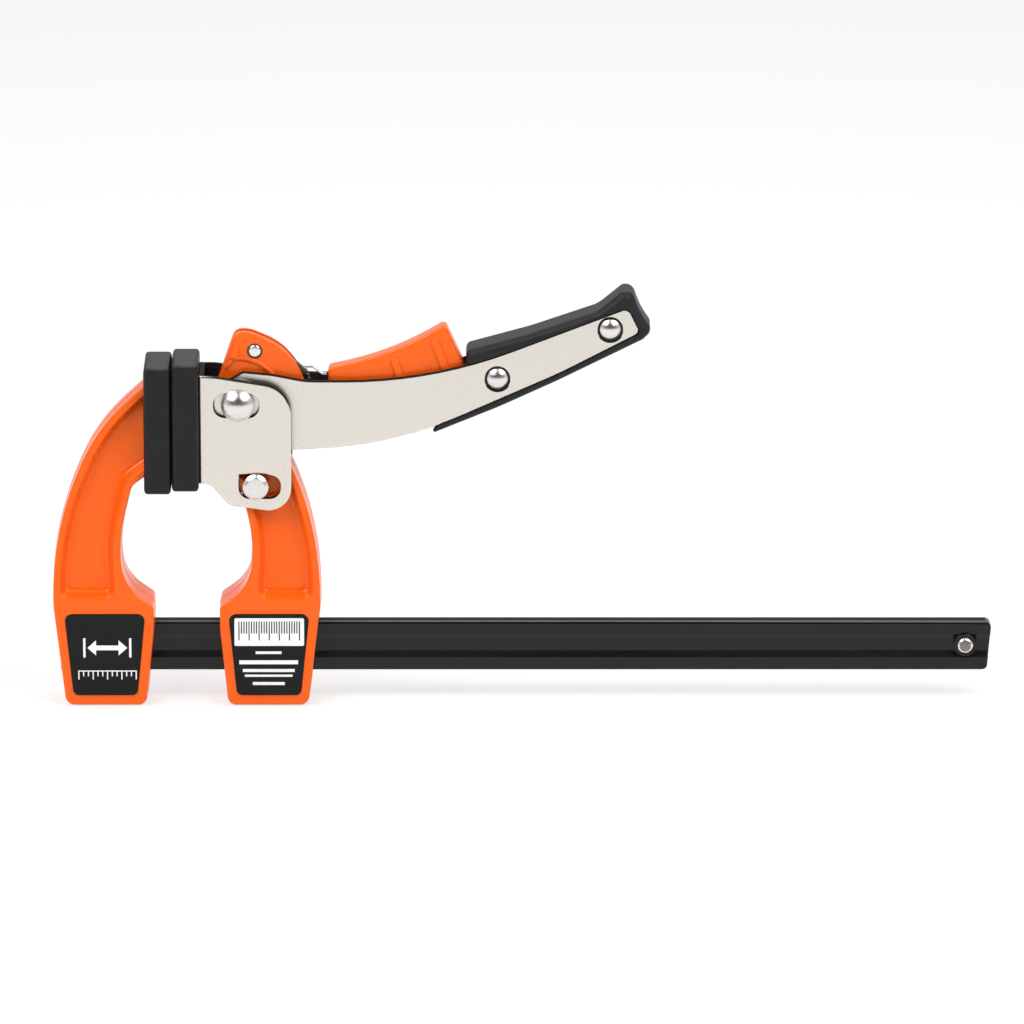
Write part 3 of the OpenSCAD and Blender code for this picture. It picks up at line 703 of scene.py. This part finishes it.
def leanSides(jaw):
    # above the block the sides lean inwards
    activate(jaw)
    bpy.ops.object.mode_set(mode="EDIT")
    bpy.ops.mesh.select_all(action="SELECT")
    bpy.ops.mesh.bisect(plane_co=(0, 0, jaws["blockTop"] * mm), plane_no=(0, 0, 1))
    bpy.ops.object.mode_set(mode="OBJECT")
    slope = (jaws["half"] - jaws["tipHalf"]) / jaws["leanHeight"]
    for vert in jaw.data.vertices:
        _, y, z = vert.co / mm
        shift = max(0, z - jaws["blockTop"]) * slope * min(1, abs(y) / jaws["leanFrom"])
        vert.co.y = (abs(y) - shift) * mm * (1 if y > 0 else -1)


print("casting the jaws")
barLow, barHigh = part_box("bar")
fixedJaw = castJaw("fixed_jaw_dressed", lambda corners: corners)
cutSlot(fixedJaw, jaws["slotEnd"], slack)
leanSides(fixedJaw)
finishPiece(fixedJaw, "root", "orangeCoat", ["fixed_jaw"])

# the sliding jaw's arm ends on a shelf, under a thin head with a leaf and a ring in relief
pivotAt = boxMiddle("pivot_pin")
guideAt = boxMiddle("guide_pin")
headPinAt = boxMiddle("ratchet_plate_pin")
headSize = {
    "shelf": 125.0,
    "half": 4.85,
    "rim": 1.1,
    "relief": 5.75,
    "leafRound": 0.7,
    "leafInset": 1.7,
    "ring": 22.0,
    "ringInset": 1.6,
}
headCorners = moved([
    (-13.1, -34.4, 0), (26, -34.4, 0), (24, -21.4, 4), (33, 3, 6), (32.3, 8.1, 20), (29.8, 15.8, 30),
    (20.8, 27.2, 30), (5.8, 33.7, 16), (-1.5, 33.7, 5), (-8.9, 12.1, 4), (-13.1, 3, 4)], pivotAt)
leafCorners = moved([
    (-9, 10, 0.5), (-6.8, 14.1, 8), (-3.3, 18.1, 8), (0.4, 22.4, 3), (0.7, 26.6, 3), (-2.3, 30.1, 1),
    (-9, 26, 0.5)], pivotAt)
# from the ring's outer radius and its top
ringProfile = [(-2.2, -1.25), (-2.2, -0.6), (-2.0, -0.25), (-1.7, -0.06), (-1.3, 0), (-0.9, 0),
               (-0.5, -0.06), (-0.2, -0.25), (0, -0.6), (0, -1.25), (-2.2, -1.25)]


def trimToHead(piece, inset):
    outline = roundedOutline(insetOutline(headCorners, inset))
    combine(piece, loft("headForm", [(outline, far), (outline, -far)]), "INTERSECT")


mirrorAt = jaws["slidingMiddle"] / 2
slidingJaw = castJaw("sliding_jaw_dressed", lambda corners: mirroredOutline(corners, mirrorAt))
cutSlot(slidingJaw, -far, jaws["slidingFit"])
leanSides(slidingJaw)
combine(slidingJaw, box("shelfCutter", (-far, -far, headSize["shelf"]), (far, far, far)), "DIFFERENCE")
head = roundedSlab("head", headCorners, headSize["half"], headSize["rim"], slack)
combine(head, copyOfNode("sliding_jaw", "headForm"), "INTERSECT")
leaf = roundedSlab("leaf", leafCorners, headSize["relief"], headSize["leafRound"])
trimToHead(leaf, headSize["leafInset"])
reliefs = [leaf]
for side in (1, -1):
    profile = [(headSize["ring"] + out, side * (headSize["relief"] + up)) for out, up in ringProfile]
    ring = turnedPiece("ring", [(pivotAt.x, pivotAt.z)], profile, 120)
    trimToHead(ring, headSize["ringInset"])
    reliefs.append(ring)
joinPieces(slidingJaw, head, *reliefs)
finishPiece(slidingJaw, "slider", "orangeCoat", ["sliding_jaw"])

# a plain pin's rim is given as pairs of how far in and how far down each point is
jawPins = {"radius": 3.0, "end": 15.15, "rim": [(0.35, 0), (0.08, 0.08), (0, 0.3)],
           "places": [(-11.5, 27.1), (11.5, 27.1)]}


def pinProfile(size):
    rim = [(size["radius"] - inwards, size["end"] - down) for inwards, down in size["rim"]]
    return bothEnds([(0, size["end"])] + rim)


fixedPins = turnedPiece("fixed_jaw_pins_dressed", jawPins["places"], pinProfile(jawPins))
finishPiece(fixedPins, "root", "pinSteel", ["fixed_jaw_pins"])


# bar and stop
print("drawing the bar")
barEdges = {
    "end": 0.5,
    "endZone": 3.5,
    "top": 0.5,
    "topZone": 0.1,
    "hole": 0.2,
    "highlightZone": 0.6,        # the painted highlight along the top edges
    "flat": 0.97,
    "slant": 0.2,
}
barPiece = copyOfNode("bar", "bar_dressed")
barEnd, barTop = barHigh.x / mm, barHigh.z / mm


def barWidth(middle, across):
    if middle.x > barEnd - barEdges["endZone"]:
        return barEdges["end"]
    return barEdges["top"] if middle.z > barTop - barEdges["topZone"] else barEdges["hole"]


# the rounding along the bar's top, where a highlight is painted
def isPaintedHighlight(middle, normal):
    return middle.z > barTop - barEdges["highlightZone"] and barEdges["slant"] < normal.z < barEdges["flat"]


roundEdges(barPiece, barWidth, barEdges["end"])
# the top face gets the matte shaded copy of the black, and the top edges the painted highlight
finishPiece(barPiece, "root", "blackBar", ["bar"],
            others=[("barTop", lambda middle, normal: normal.z > barEdges["flat"]), ("barEdge", isPaintedHighlight)])

ringEdges = {"width": 0.4, "from": 5.5}
rings = copyOfNode("stop_pin_rings", "stop_pin_rings_dressed")
roundEdges(rings, lambda middle, across: ringEdges["width"] if abs(middle.y) > ringEdges["from"] else 0,
           ringEdges["width"])
finishPiece(rings, "root", "blackBar", ["stop_pin_rings"])

stopAt = boxMiddle("stop_pin")
stopPin = {"radius": 3.8, "end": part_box("stop_pin")[1].y / mm,
           "rim": [(1.05, 0), (0.9, 0.04), (0.05, 0.8), (0, 1.0)], "flat": 0.97}
stop = turnedPiece("stop_pin_dressed", [(stopAt.x, stopAt.z)], pinProfile(stopPin))
finishPiece(stop, "root", "pinSteel", ["stop_pin"],
            others=[("stopFace", lambda middle, normal: abs(normal.y) > stopPin["flat"])])


# pads
print("moulding the pads")
for nodeName, body in (("fixed_pad", "root"), ("moving_pad", "carrier")):
    pad = copyOfNode(nodeName, nodeName + "_dressed")
    finishPiece(pad, body, "padRubber", [nodeName], smooth=50)


# folded pad carrier
print("folding the carrier")
carrierSize = {
    "out": 15.2,
    "sheet": 2.5,
    "fold": 1.7,
    "rim": 0.8,
    "rimDepths": (0, 0.04, 0.15, 0.35, 0.6, 0.8, 1.1, 1.4, 1.7),
    "slotRim": 0.4,
    "slotDepths": (0, 0.03, 0.12, 0.25, 0.4),
}
carrierLeft, carrierRight = (corner.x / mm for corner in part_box("pad_carrier"))
carrierSide = [
    (carrierLeft, 110.7, 0.5), (carrierLeft + 5.6, 110.2, 5), (carrierLeft + 14.4, 99.9, 5),
    (carrierRight, 95.6, 11), (carrierRight, 157.6, 15), (carrierLeft + 8, 163.4, 15),
    (carrierLeft, 163.7, 0.5)]
pivotSlot = moved([(-11.7, -5.9, 5.7), (10.3, -5.9, 5.7), (10.3, 5.9, 5.7), (-11.7, 5.9, 5.7)], pivotAt)
guideSlot = moved([(-8.1, -5.9, 5.4), (12, -5.9, 5.4), (12, 4.3, 5), (4, 6.3, 3), (-8.1, 5.9, 0.6)], guideAt)


def roundingAt(depth, radius):
    return radius - (radius ** 2 - (radius - depth) ** 2) ** 0.5 if depth < radius else 0.0


rows = []
for depth in carrierSize["rimDepths"]:
    corners = insetOutline(carrierSide, roundingAt(depth, carrierSize["rim"]))
    left = carrierLeft + roundingAt(depth, carrierSize["fold"])
    corners[0] = (left, *corners[0][1:])
    corners[-1] = (left, *corners[-1][1:])
    rows.append((roundedOutline(corners), carrierSize["out"] - depth))
carrier = loft("pad_carrier_dressed", rows + [(row, -y) for row, y in reversed(rows)])
inside = carrierSize["out"] - carrierSize["sheet"]
channel = box("channelCutter", (carrierLeft + carrierSize["sheet"], -inside, -far), (far, inside, far))
combine(carrier, channel, "DIFFERENCE")
for slot in (pivotSlot, guideSlot):
    rows = [(carrierSize["out"] + 1, carrierSize["slotRim"])]
    for depth in carrierSize["slotDepths"]:
        rows.append((carrierSize["out"] - depth, roundingAt(depth, carrierSize["slotRim"])))
    rows += [(-y, away) for y, away in reversed(rows)]
    cutter = loft("slotCutter", [(roundedOutline(insetOutline(slot, -away)), y) for y, away in rows])
    combine(carrier, cutter, "DIFFERENCE")


def isCarrierPaintedShade(middle, normal):
    # painted shade on the channel's inner faces, and on the sawn edges right of the fold
    within = abs(middle.y) < inside + slack
    return within or (middle.x > carrierLeft + carrierSize["sheet"] and isPaintedShade(normal))


finishPiece(carrier, "carrier", "plateSteel", ["pad_carrier"],
            others=[("paintedShade", isCarrierPaintedShade)])


# lever plates
print("cutting the lever plates")
leverEdge = 0.85


def outerLoop(piece, y):
    # the outline of the face at y, as (x, z) in mm in order round it
    work = bmesh.new()
    work.from_mesh(piece.data)
    places, links = {}, {}
    for edge in work.edges:
        one, other = edge.verts
        onFace = abs(one.co.y - y) < weldDistance * 5 and abs(other.co.y - y) < weldDistance * 5
        if onFace and edge.calc_face_angle(0) > sharpAngle:
            for vert, neighbour in ((one, other), (other, one)):
                places[vert.index] = (vert.co.x / mm, vert.co.z / mm)
                links.setdefault(vert.index, []).append(neighbour.index)
    work.free()
    here = min(places, key=lambda index: places[index][0])
    before, order = links[here][0], []
    while here not in order:
        order.append(here)
        one, other = links[here]
        here, before = (other if one == before else one), here
    return [places[index] for index in order]


def isPlatePaintedShade(middle, normal):
    # painted shade on the sawn edges, and on the face towards the other plate
    return isPaintedShade(normal) or normal.y * middle.y < -paintedShade["inside"] * abs(middle.y)


for nodeName in ("lever_plate_front", "lever_plate_back"):
    plate = copyOfNode(nodeName, nodeName + "_dressed")
    if nodeName == "lever_plate_front":
        leverLoop = outerLoop(plate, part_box(nodeName)[0].y)
    roundEdges(plate, lambda middle, across: 0 if across else leverEdge, leverEdge)
    finishPiece(plate, "lever", "plateSteel", [nodeName], others=[("paintedShade", isPlatePaintedShade)])


# grip
print("moulding the grip")
gripSize = {
    "half": 11.0,
    "round": 4.0,
    "reach": 193.0,          # the corners below are shares of this, from the pivot
    "plateIn": 7.2,
    "fit": 0.12,
    "bore": 2.6,
    "boss": 5.75,
    "bossFoot": 7.0,
    "bossEnd": 9.7,
    "bossEdge": 0.2,
    "rivetRadius": 4.9,
    "triggerRoom": 79.9,
}
gripShares = [
    (0.4738, -0.0841, 1.0), (0.647, -0.013, 150), (0.793, 0.0544, 150), (1.0044, 0.1596, 4),
    (1.0288, 0.1834, 4), (0.9985, 0.2265, 36), (0.9806, 0.277, 4.5), (0.9573, 0.286, 4),
    (0.8935, 0.2335, 14), (0.7256, 0.1762, 60), (0.566, 0.1326, 3.2), (0.566, 0.0964, 0), (0.5834, 0.0674, 0)]
reach = gripSize["reach"]
gripCorners = moved([(x * reach, z * reach, radius) for x, z, radius in gripShares], pivotAt)
triggerPinAt = boxMiddle("trigger_pin")
# one rivet lies in each of these two corners of their common box
inset = gripSize["rivetRadius"]
rivetPlaces = [(corner.x / mm + way, corner.z / mm + way)
               for corner, way in zip(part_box("grip_rivets"), (inset, -inset))]
grip = roundedSlab("grip_dressed", gripCorners, gripSize["half"], gripSize["round"], 0.0, 8)
pocket = offsetLoop(leverLoop, gripSize["fit"])
plateIn = gripSize["plateIn"]
for side in (1, -1):
    combine(grip, loft("pocketCutter", [(pocket, side * far), (pocket, side * plateIn)]), "DIFFERENCE")
room = gripSize["triggerRoom"]
circle = [(triggerPinAt.x + room * cos(radians(a)), triggerPinAt.z + room * sin(radians(a)))
          for a in range(0, 360, 2)]
combine(grip, loft("triggerRoom", [(circle, plateIn), (circle, -plateIn)]), "DIFFERENCE")
bore, boss, foot, end = (gripSize[name] for name in ("bore", "boss", "bossFoot", "bossEnd"))
profile = [(bore, foot), (boss, foot), (boss, end - gripSize["bossEdge"]), (boss - gripSize["bossEdge"], end),
           (bore, end), (bore, foot)]
bosses = [turnedPiece("boss", rivetPlaces, [(radius, side * y) for radius, y in profile]) for side in (1, -1)]
joinPieces(grip, *bosses)
finishPiece(grip, "lever", "gripPlastic", ["grip"])


# trigger
print("moulding the trigger")
triggerSize = {
    "half": 5.0,
    "round": 1.3,
    "roomHalf": 2.1,         # room for the pawl
    "roomEnd": 18.8,
    "roomTop": 152.1,
    "rib": 6.08,
    "ribRound": 0.8,
    "ribRadius": 2.1,
    "ribFlat": 0.042,        # what is left between the two corners of a rib's end
}
triggerCorners = moved([
    (1, -4.8, 0), (28, 9, 8), (75.6, 20.5, 0), (60.6, 53.2, 2.4), (35.4, 37.9, 147), (4.4, 31.3, 2.5),
    (4.4, 22, 3), (2.6, 12, 3), (-3.5, 3, 0)], triggerPinAt)
ribEnds = [((36.6, 34.2), (39.0, 27.0)), ((55.9, 44.4), (61.0, 30.5))]
trigger = roundedSlab("trigger_dressed", triggerCorners, triggerSize["half"], triggerSize["round"], slack, 5)
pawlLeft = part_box("pawl")[0].x / mm
room = box("pawlRoom", (-far, -triggerSize["roomHalf"], -far),
           (pawlLeft + triggerSize["roomEnd"], triggerSize["roomHalf"], triggerSize["roomTop"]))
combine(trigger, room, "DIFFERENCE")
ribs = []
for (ax, az), (bx, bz) in ribEnds:
    ux, uz = unit(ax - bx, az - bz)
    radius = triggerSize["ribRadius"]
    corners = [(triggerPinAt.x + x + radius * (way * ux + side * uz),
                triggerPinAt.z + z + radius * (way * uz - side * ux), radius - triggerSize["ribFlat"])
               for x, z, way, side in ((ax, az, 1, 1), (ax, az, 1, -1), (bx, bz, -1, -1), (bx, bz, -1, 1))]
    ribs.append(roundedSlab("rib", corners, triggerSize["rib"], triggerSize["ribRound"]))
joinPieces(trigger, *ribs)
finishPiece(trigger, "trigger", "orangeCoat", ["trigger"])


# turned pins and rivets
print("turning the pins")
pins = {
    "pivot": {"shank": 5.7, "head": 15.8, "height": 3.9, "foot": 15.5},
    "rivet": {"shank": 2.5, "head": 9.8, "height": 1.95, "foot": 9.75},
    "guide": {"radius": 6.3, "end": 18.45,
              "rim": [(1.95, 0), (1.55, 0.12), (0.15, 1.25), (0, 1.65), (0, 2.75), (0.2, 2.95), (1.8, 2.95)]},
    "washer": {"bore": 5.75, "radius": 11.4, "inner": 9.85, "outer": 12.45, "edge": 0.15},
    "headPin": {"radius": 3.0, "end": 5.4, "rim": [(0.7, 0), (0.5, 0.05), (0.05, 0.35), (0, 0.5)]},
    "shadeRing": {"bore": 3.02, "radius": 3.75, "foot": 4.9, "face": 5.02, "top": 5.12, "edge": 0.1},
}


def domedPin(name, places, size, body, replaced):
    top = domeProfile(size["head"], size["height"], size["foot"])
    half = top + [(size["head"] / 2 - 0.1, size["foot"]), (size["shank"], size["foot"])]
    pin = turnedPiece(name, places, bothEnds(half))
    finishPiece(pin, body, "polishedSteel", [replaced], smooth=50)


def turnRing(name, place, profile):
    # a ring at the back and one at the front, each a piece of its own
    return [turnedPiece(name + end, [(place.x, place.z)], [(radius, side * y) for radius, y in profile])
            for side, end in ((1, "back"), (-1, "front"))]


domedPin("pivot_pin_dressed", [(pivotAt.x, pivotAt.z)], pins["pivot"], "slider", "pivot_pin")
domedPin("grip_rivets_dressed", rivetPlaces, pins["rivet"], "lever", "grip_rivets")

guide = turnedPiece("guide_pin_dressed", [(guideAt.x, guideAt.z)], pinProfile(pins["guide"]))
finishPiece(guide, "slider", "polishedSteel", ["guide_pin"], smooth=25)

size = pins["washer"]
rim, edge = size["radius"], size["edge"]
for washer in turnRing("outer_washer_", pivotAt, [
        (size["bore"], size["inner"]), (rim - edge, size["inner"]), (rim, size["inner"] + edge),
        (rim, size["outer"] - edge), (rim - edge, size["outer"]), (size["bore"], size["outer"]),
        (size["bore"], size["inner"])]):
    finishPiece(washer, "slider", "plateSteel", ["outer_washers"])

headPin = turnedPiece("ratchet_plate_pin_dressed", [(headPinAt.x, headPinAt.z)], pinProfile(pins["headPin"]))
finishPiece(headPin, "slider", "pinSteel", ["ratchet_plate_pin"])

# painted shade: a thin dark ring round the head pin, standing for the shadow in the gap round it
size = pins["shadeRing"]
rim, edge = size["radius"], size["edge"]
for shadeRing in turnRing("head_pin_shade_ring_", headPinAt, [
        (size["bore"], size["foot"]), (size["bore"], size["top"]), (rim - edge, size["top"]),
        (rim, size["face"]), (rim, size["foot"]), (size["bore"], size["foot"])]):
    finishPiece(shadeRing, "slider", "darkSteelAndShade")


# bent wire of the trigger's spring
print("bending the wire")
wire = {
    "y": -6.55,
    "radius": 0.7,
    "path": [(95.4, 166.5), (99.9, 166.4), (101.2, 165.7), (103.2, 163.9), (104.4, 163.2), (106.3, 163.1)],
}
curve = bpy.data.curves.new("trigger_spring_dressed", "CURVE")
curve.dimensions = "3D"
curve.bevel_depth = wire["radius"] * mm
curve.bevel_resolution = 5
curve.use_fill_caps = True
spline = curve.splines.new("BEZIER")
spline.bezier_points.add(len(wire["path"]) - 1)
for point, (x, z) in zip(spline.bezier_points, wire["path"]):
    point.co = Vector((x, wire["y"], z)) * mm
    point.handle_left_type = point.handle_right_type = "AUTO"
spring = bpy.data.objects.new("trigger_spring_dressed", curve)
bpy.context.scene.collection.objects.link(spring)
activate(spring)
bpy.ops.object.convert(target="MESH")
finishPiece(bpy.context.object, "lever", "pinSteel", ["trigger_spring"], smooth=60)


# label plates, with a lip of the casting round them and plain marks
print("fitting the labels")
labels = {
    "edge": 0.14,
    "ink": 0.05,
    "inkDepth": 0.03,
    # the lip's section, as pairs of how far out from the plate and y
    "lip": [(0.05, -14.8), (0.05, -15.3), (0.4, -15.3), (0.75, -15.0), (0.75, -14.8)],
}
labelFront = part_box("fixed_jaw_label")[0].y / mm


def labelLoop(nodeName):
    # the plate's own outline, in order round it
    middle = boxMiddle(nodeName)
    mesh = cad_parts[nodeName].data
    points = {(round(vert.co.x / mm, 3), round(vert.co.z / mm, 3)) for vert in mesh.vertices}
    return sorted(points, key=lambda point: atan2(point[1] - middle.z, point[0] - middle.x))


for nodeName, body in (("fixed_jaw_label", "root"), ("sliding_jaw_label", "slider")):
    plate = copyOfNode(nodeName, nodeName + "_dressed")
    roundEdges(plate, lambda middle, across: 0 if across else labels["edge"], labels["edge"], 2)
    finishPiece(plate, body, "labelBlack", [nodeName])
    loop = labelLoop(nodeName)
    lip = loft(nodeName + "_lip", [(offsetLoop(loop, away), y) for away, y in labels["lip"]], closed=True)
    finishPiece(lip, body, "orangeCoat", smooth=50)

opening = {
    "middle": 0.3,
    "arrow": [(-9.6, 29.2), (-5.4, 25.4), (-5.4, 28.0), (5.4, 28.0), (5.4, 25.4), (9.6, 29.2), (5.4, 33.0),
              (5.4, 30.4), (-5.4, 30.4), (-5.4, 33.0)],
    "posts": [(-11.6, -10.5), (10.5, 11.6)],
    "postEnds": (24.4, 34.0),
    "ticks": 13,
    "tickStart": -13.8,
    "tickStep": 2.3,
    "tickHalf": 0.28,
    "tickFoot": (13.4, 15.0),    # long and short
    "longEach": 3,
    "line": (17.4, 17.9),
    "lineHalf": 14.1,
}
middle, (lineFoot, lineTop) = opening["middle"], opening["line"]
marks = [[(x + middle, z) for x, z in opening["arrow"]]]
for left, right in opening["posts"]:
    marks.append(stripe(middle + left, middle + right, *opening["postEnds"]))
for i in range(opening["ticks"]):
    x = middle + opening["tickStart"] + i * opening["tickStep"]
    foot = opening["tickFoot"][0 if i % opening["longEach"] == 0 else 1]
    marks.append(stripe(x - opening["tickHalf"], x + opening["tickHalf"], foot, lineFoot))
marks.append(stripe(middle - opening["lineHalf"], middle + opening["lineHalf"], lineFoot, lineTop))
inkDepth = labels["ink"] + labels["inkDepth"]
fixedMarks = flatShapes("fixed_jaw_label_marks", marks, labelFront - labels["ink"], inkDepth)
finishPiece(fixedMarks, "root", "printWhite")

panel = {
    "left": 61.5,
    "right": 95.0,
    "low": 30.2,
    "high": 44.0,
    "radius": 0.8,
    "stripeMiddle": 77.9,
    "stripes": [(26.8, 12.5, 1.3), (22.0, 28.3, 2.0), (17.9, 25.0, 1.5), (15.3, 23.0, 1.1),
                (11.4, 15.4, 1.5)],
    "ticks": 25,
    "tickInset": 2.2,
    "tickHalf": 0.26,
    "tickFoot": (33.0, 36.4),
    "longEach": 4,
    "tickTop": 42.4,
    "tickInk": (0.04, 0.06),
}
marks = [roundedOutline([(x, z, panel["radius"]) for x, z in stripe(
    panel["left"], panel["right"], panel["low"], panel["high"])], 22.5)]
for z, width, height in panel["stripes"]:
    middle = panel["stripeMiddle"]
    marks.append(stripe(middle - width / 2, middle + width / 2, z - height / 2, z + height / 2))
slidingMarks = flatShapes("sliding_jaw_label_marks", marks, labelFront - labels["ink"], inkDepth)
finishPiece(slidingMarks, "slider", "printWhite")
ticks = []
first, last = panel["left"] + panel["tickInset"], panel["right"] - panel["tickInset"]
for i in range(panel["ticks"]):
    x = first + i * (last - first) / (panel["ticks"] - 1)
    foot = panel["tickFoot"][0 if i % panel["longEach"] == 0 else 1]
    ticks.append(stripe(x - panel["tickHalf"], x + panel["tickHalf"], foot, panel["tickTop"]))
height, depth = panel["tickInk"]
slidingTicks = flatShapes("sliding_jaw_label_ticks", ticks, labelFront - labels["ink"] - height, depth)
finishPiece(slidingTicks, "slider", "labelBlack")


# what the CAD gives as it is
print("giving the kept nodes their materials")
keptNodes = {
    "ratchet_plate": "darkSteelAndShade",
    "head_washers": "plateSteel",
    "lever_spacer": "darkSteelAndShade",
    "trigger_pin": "pinSteel",
    "pawl": "darkSteelAndShade",
}
for nodeName, materialName in keptNodes.items():
    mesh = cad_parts[nodeName].data
    mesh.materials.clear()
    mesh.materials.append(materials[materialName])
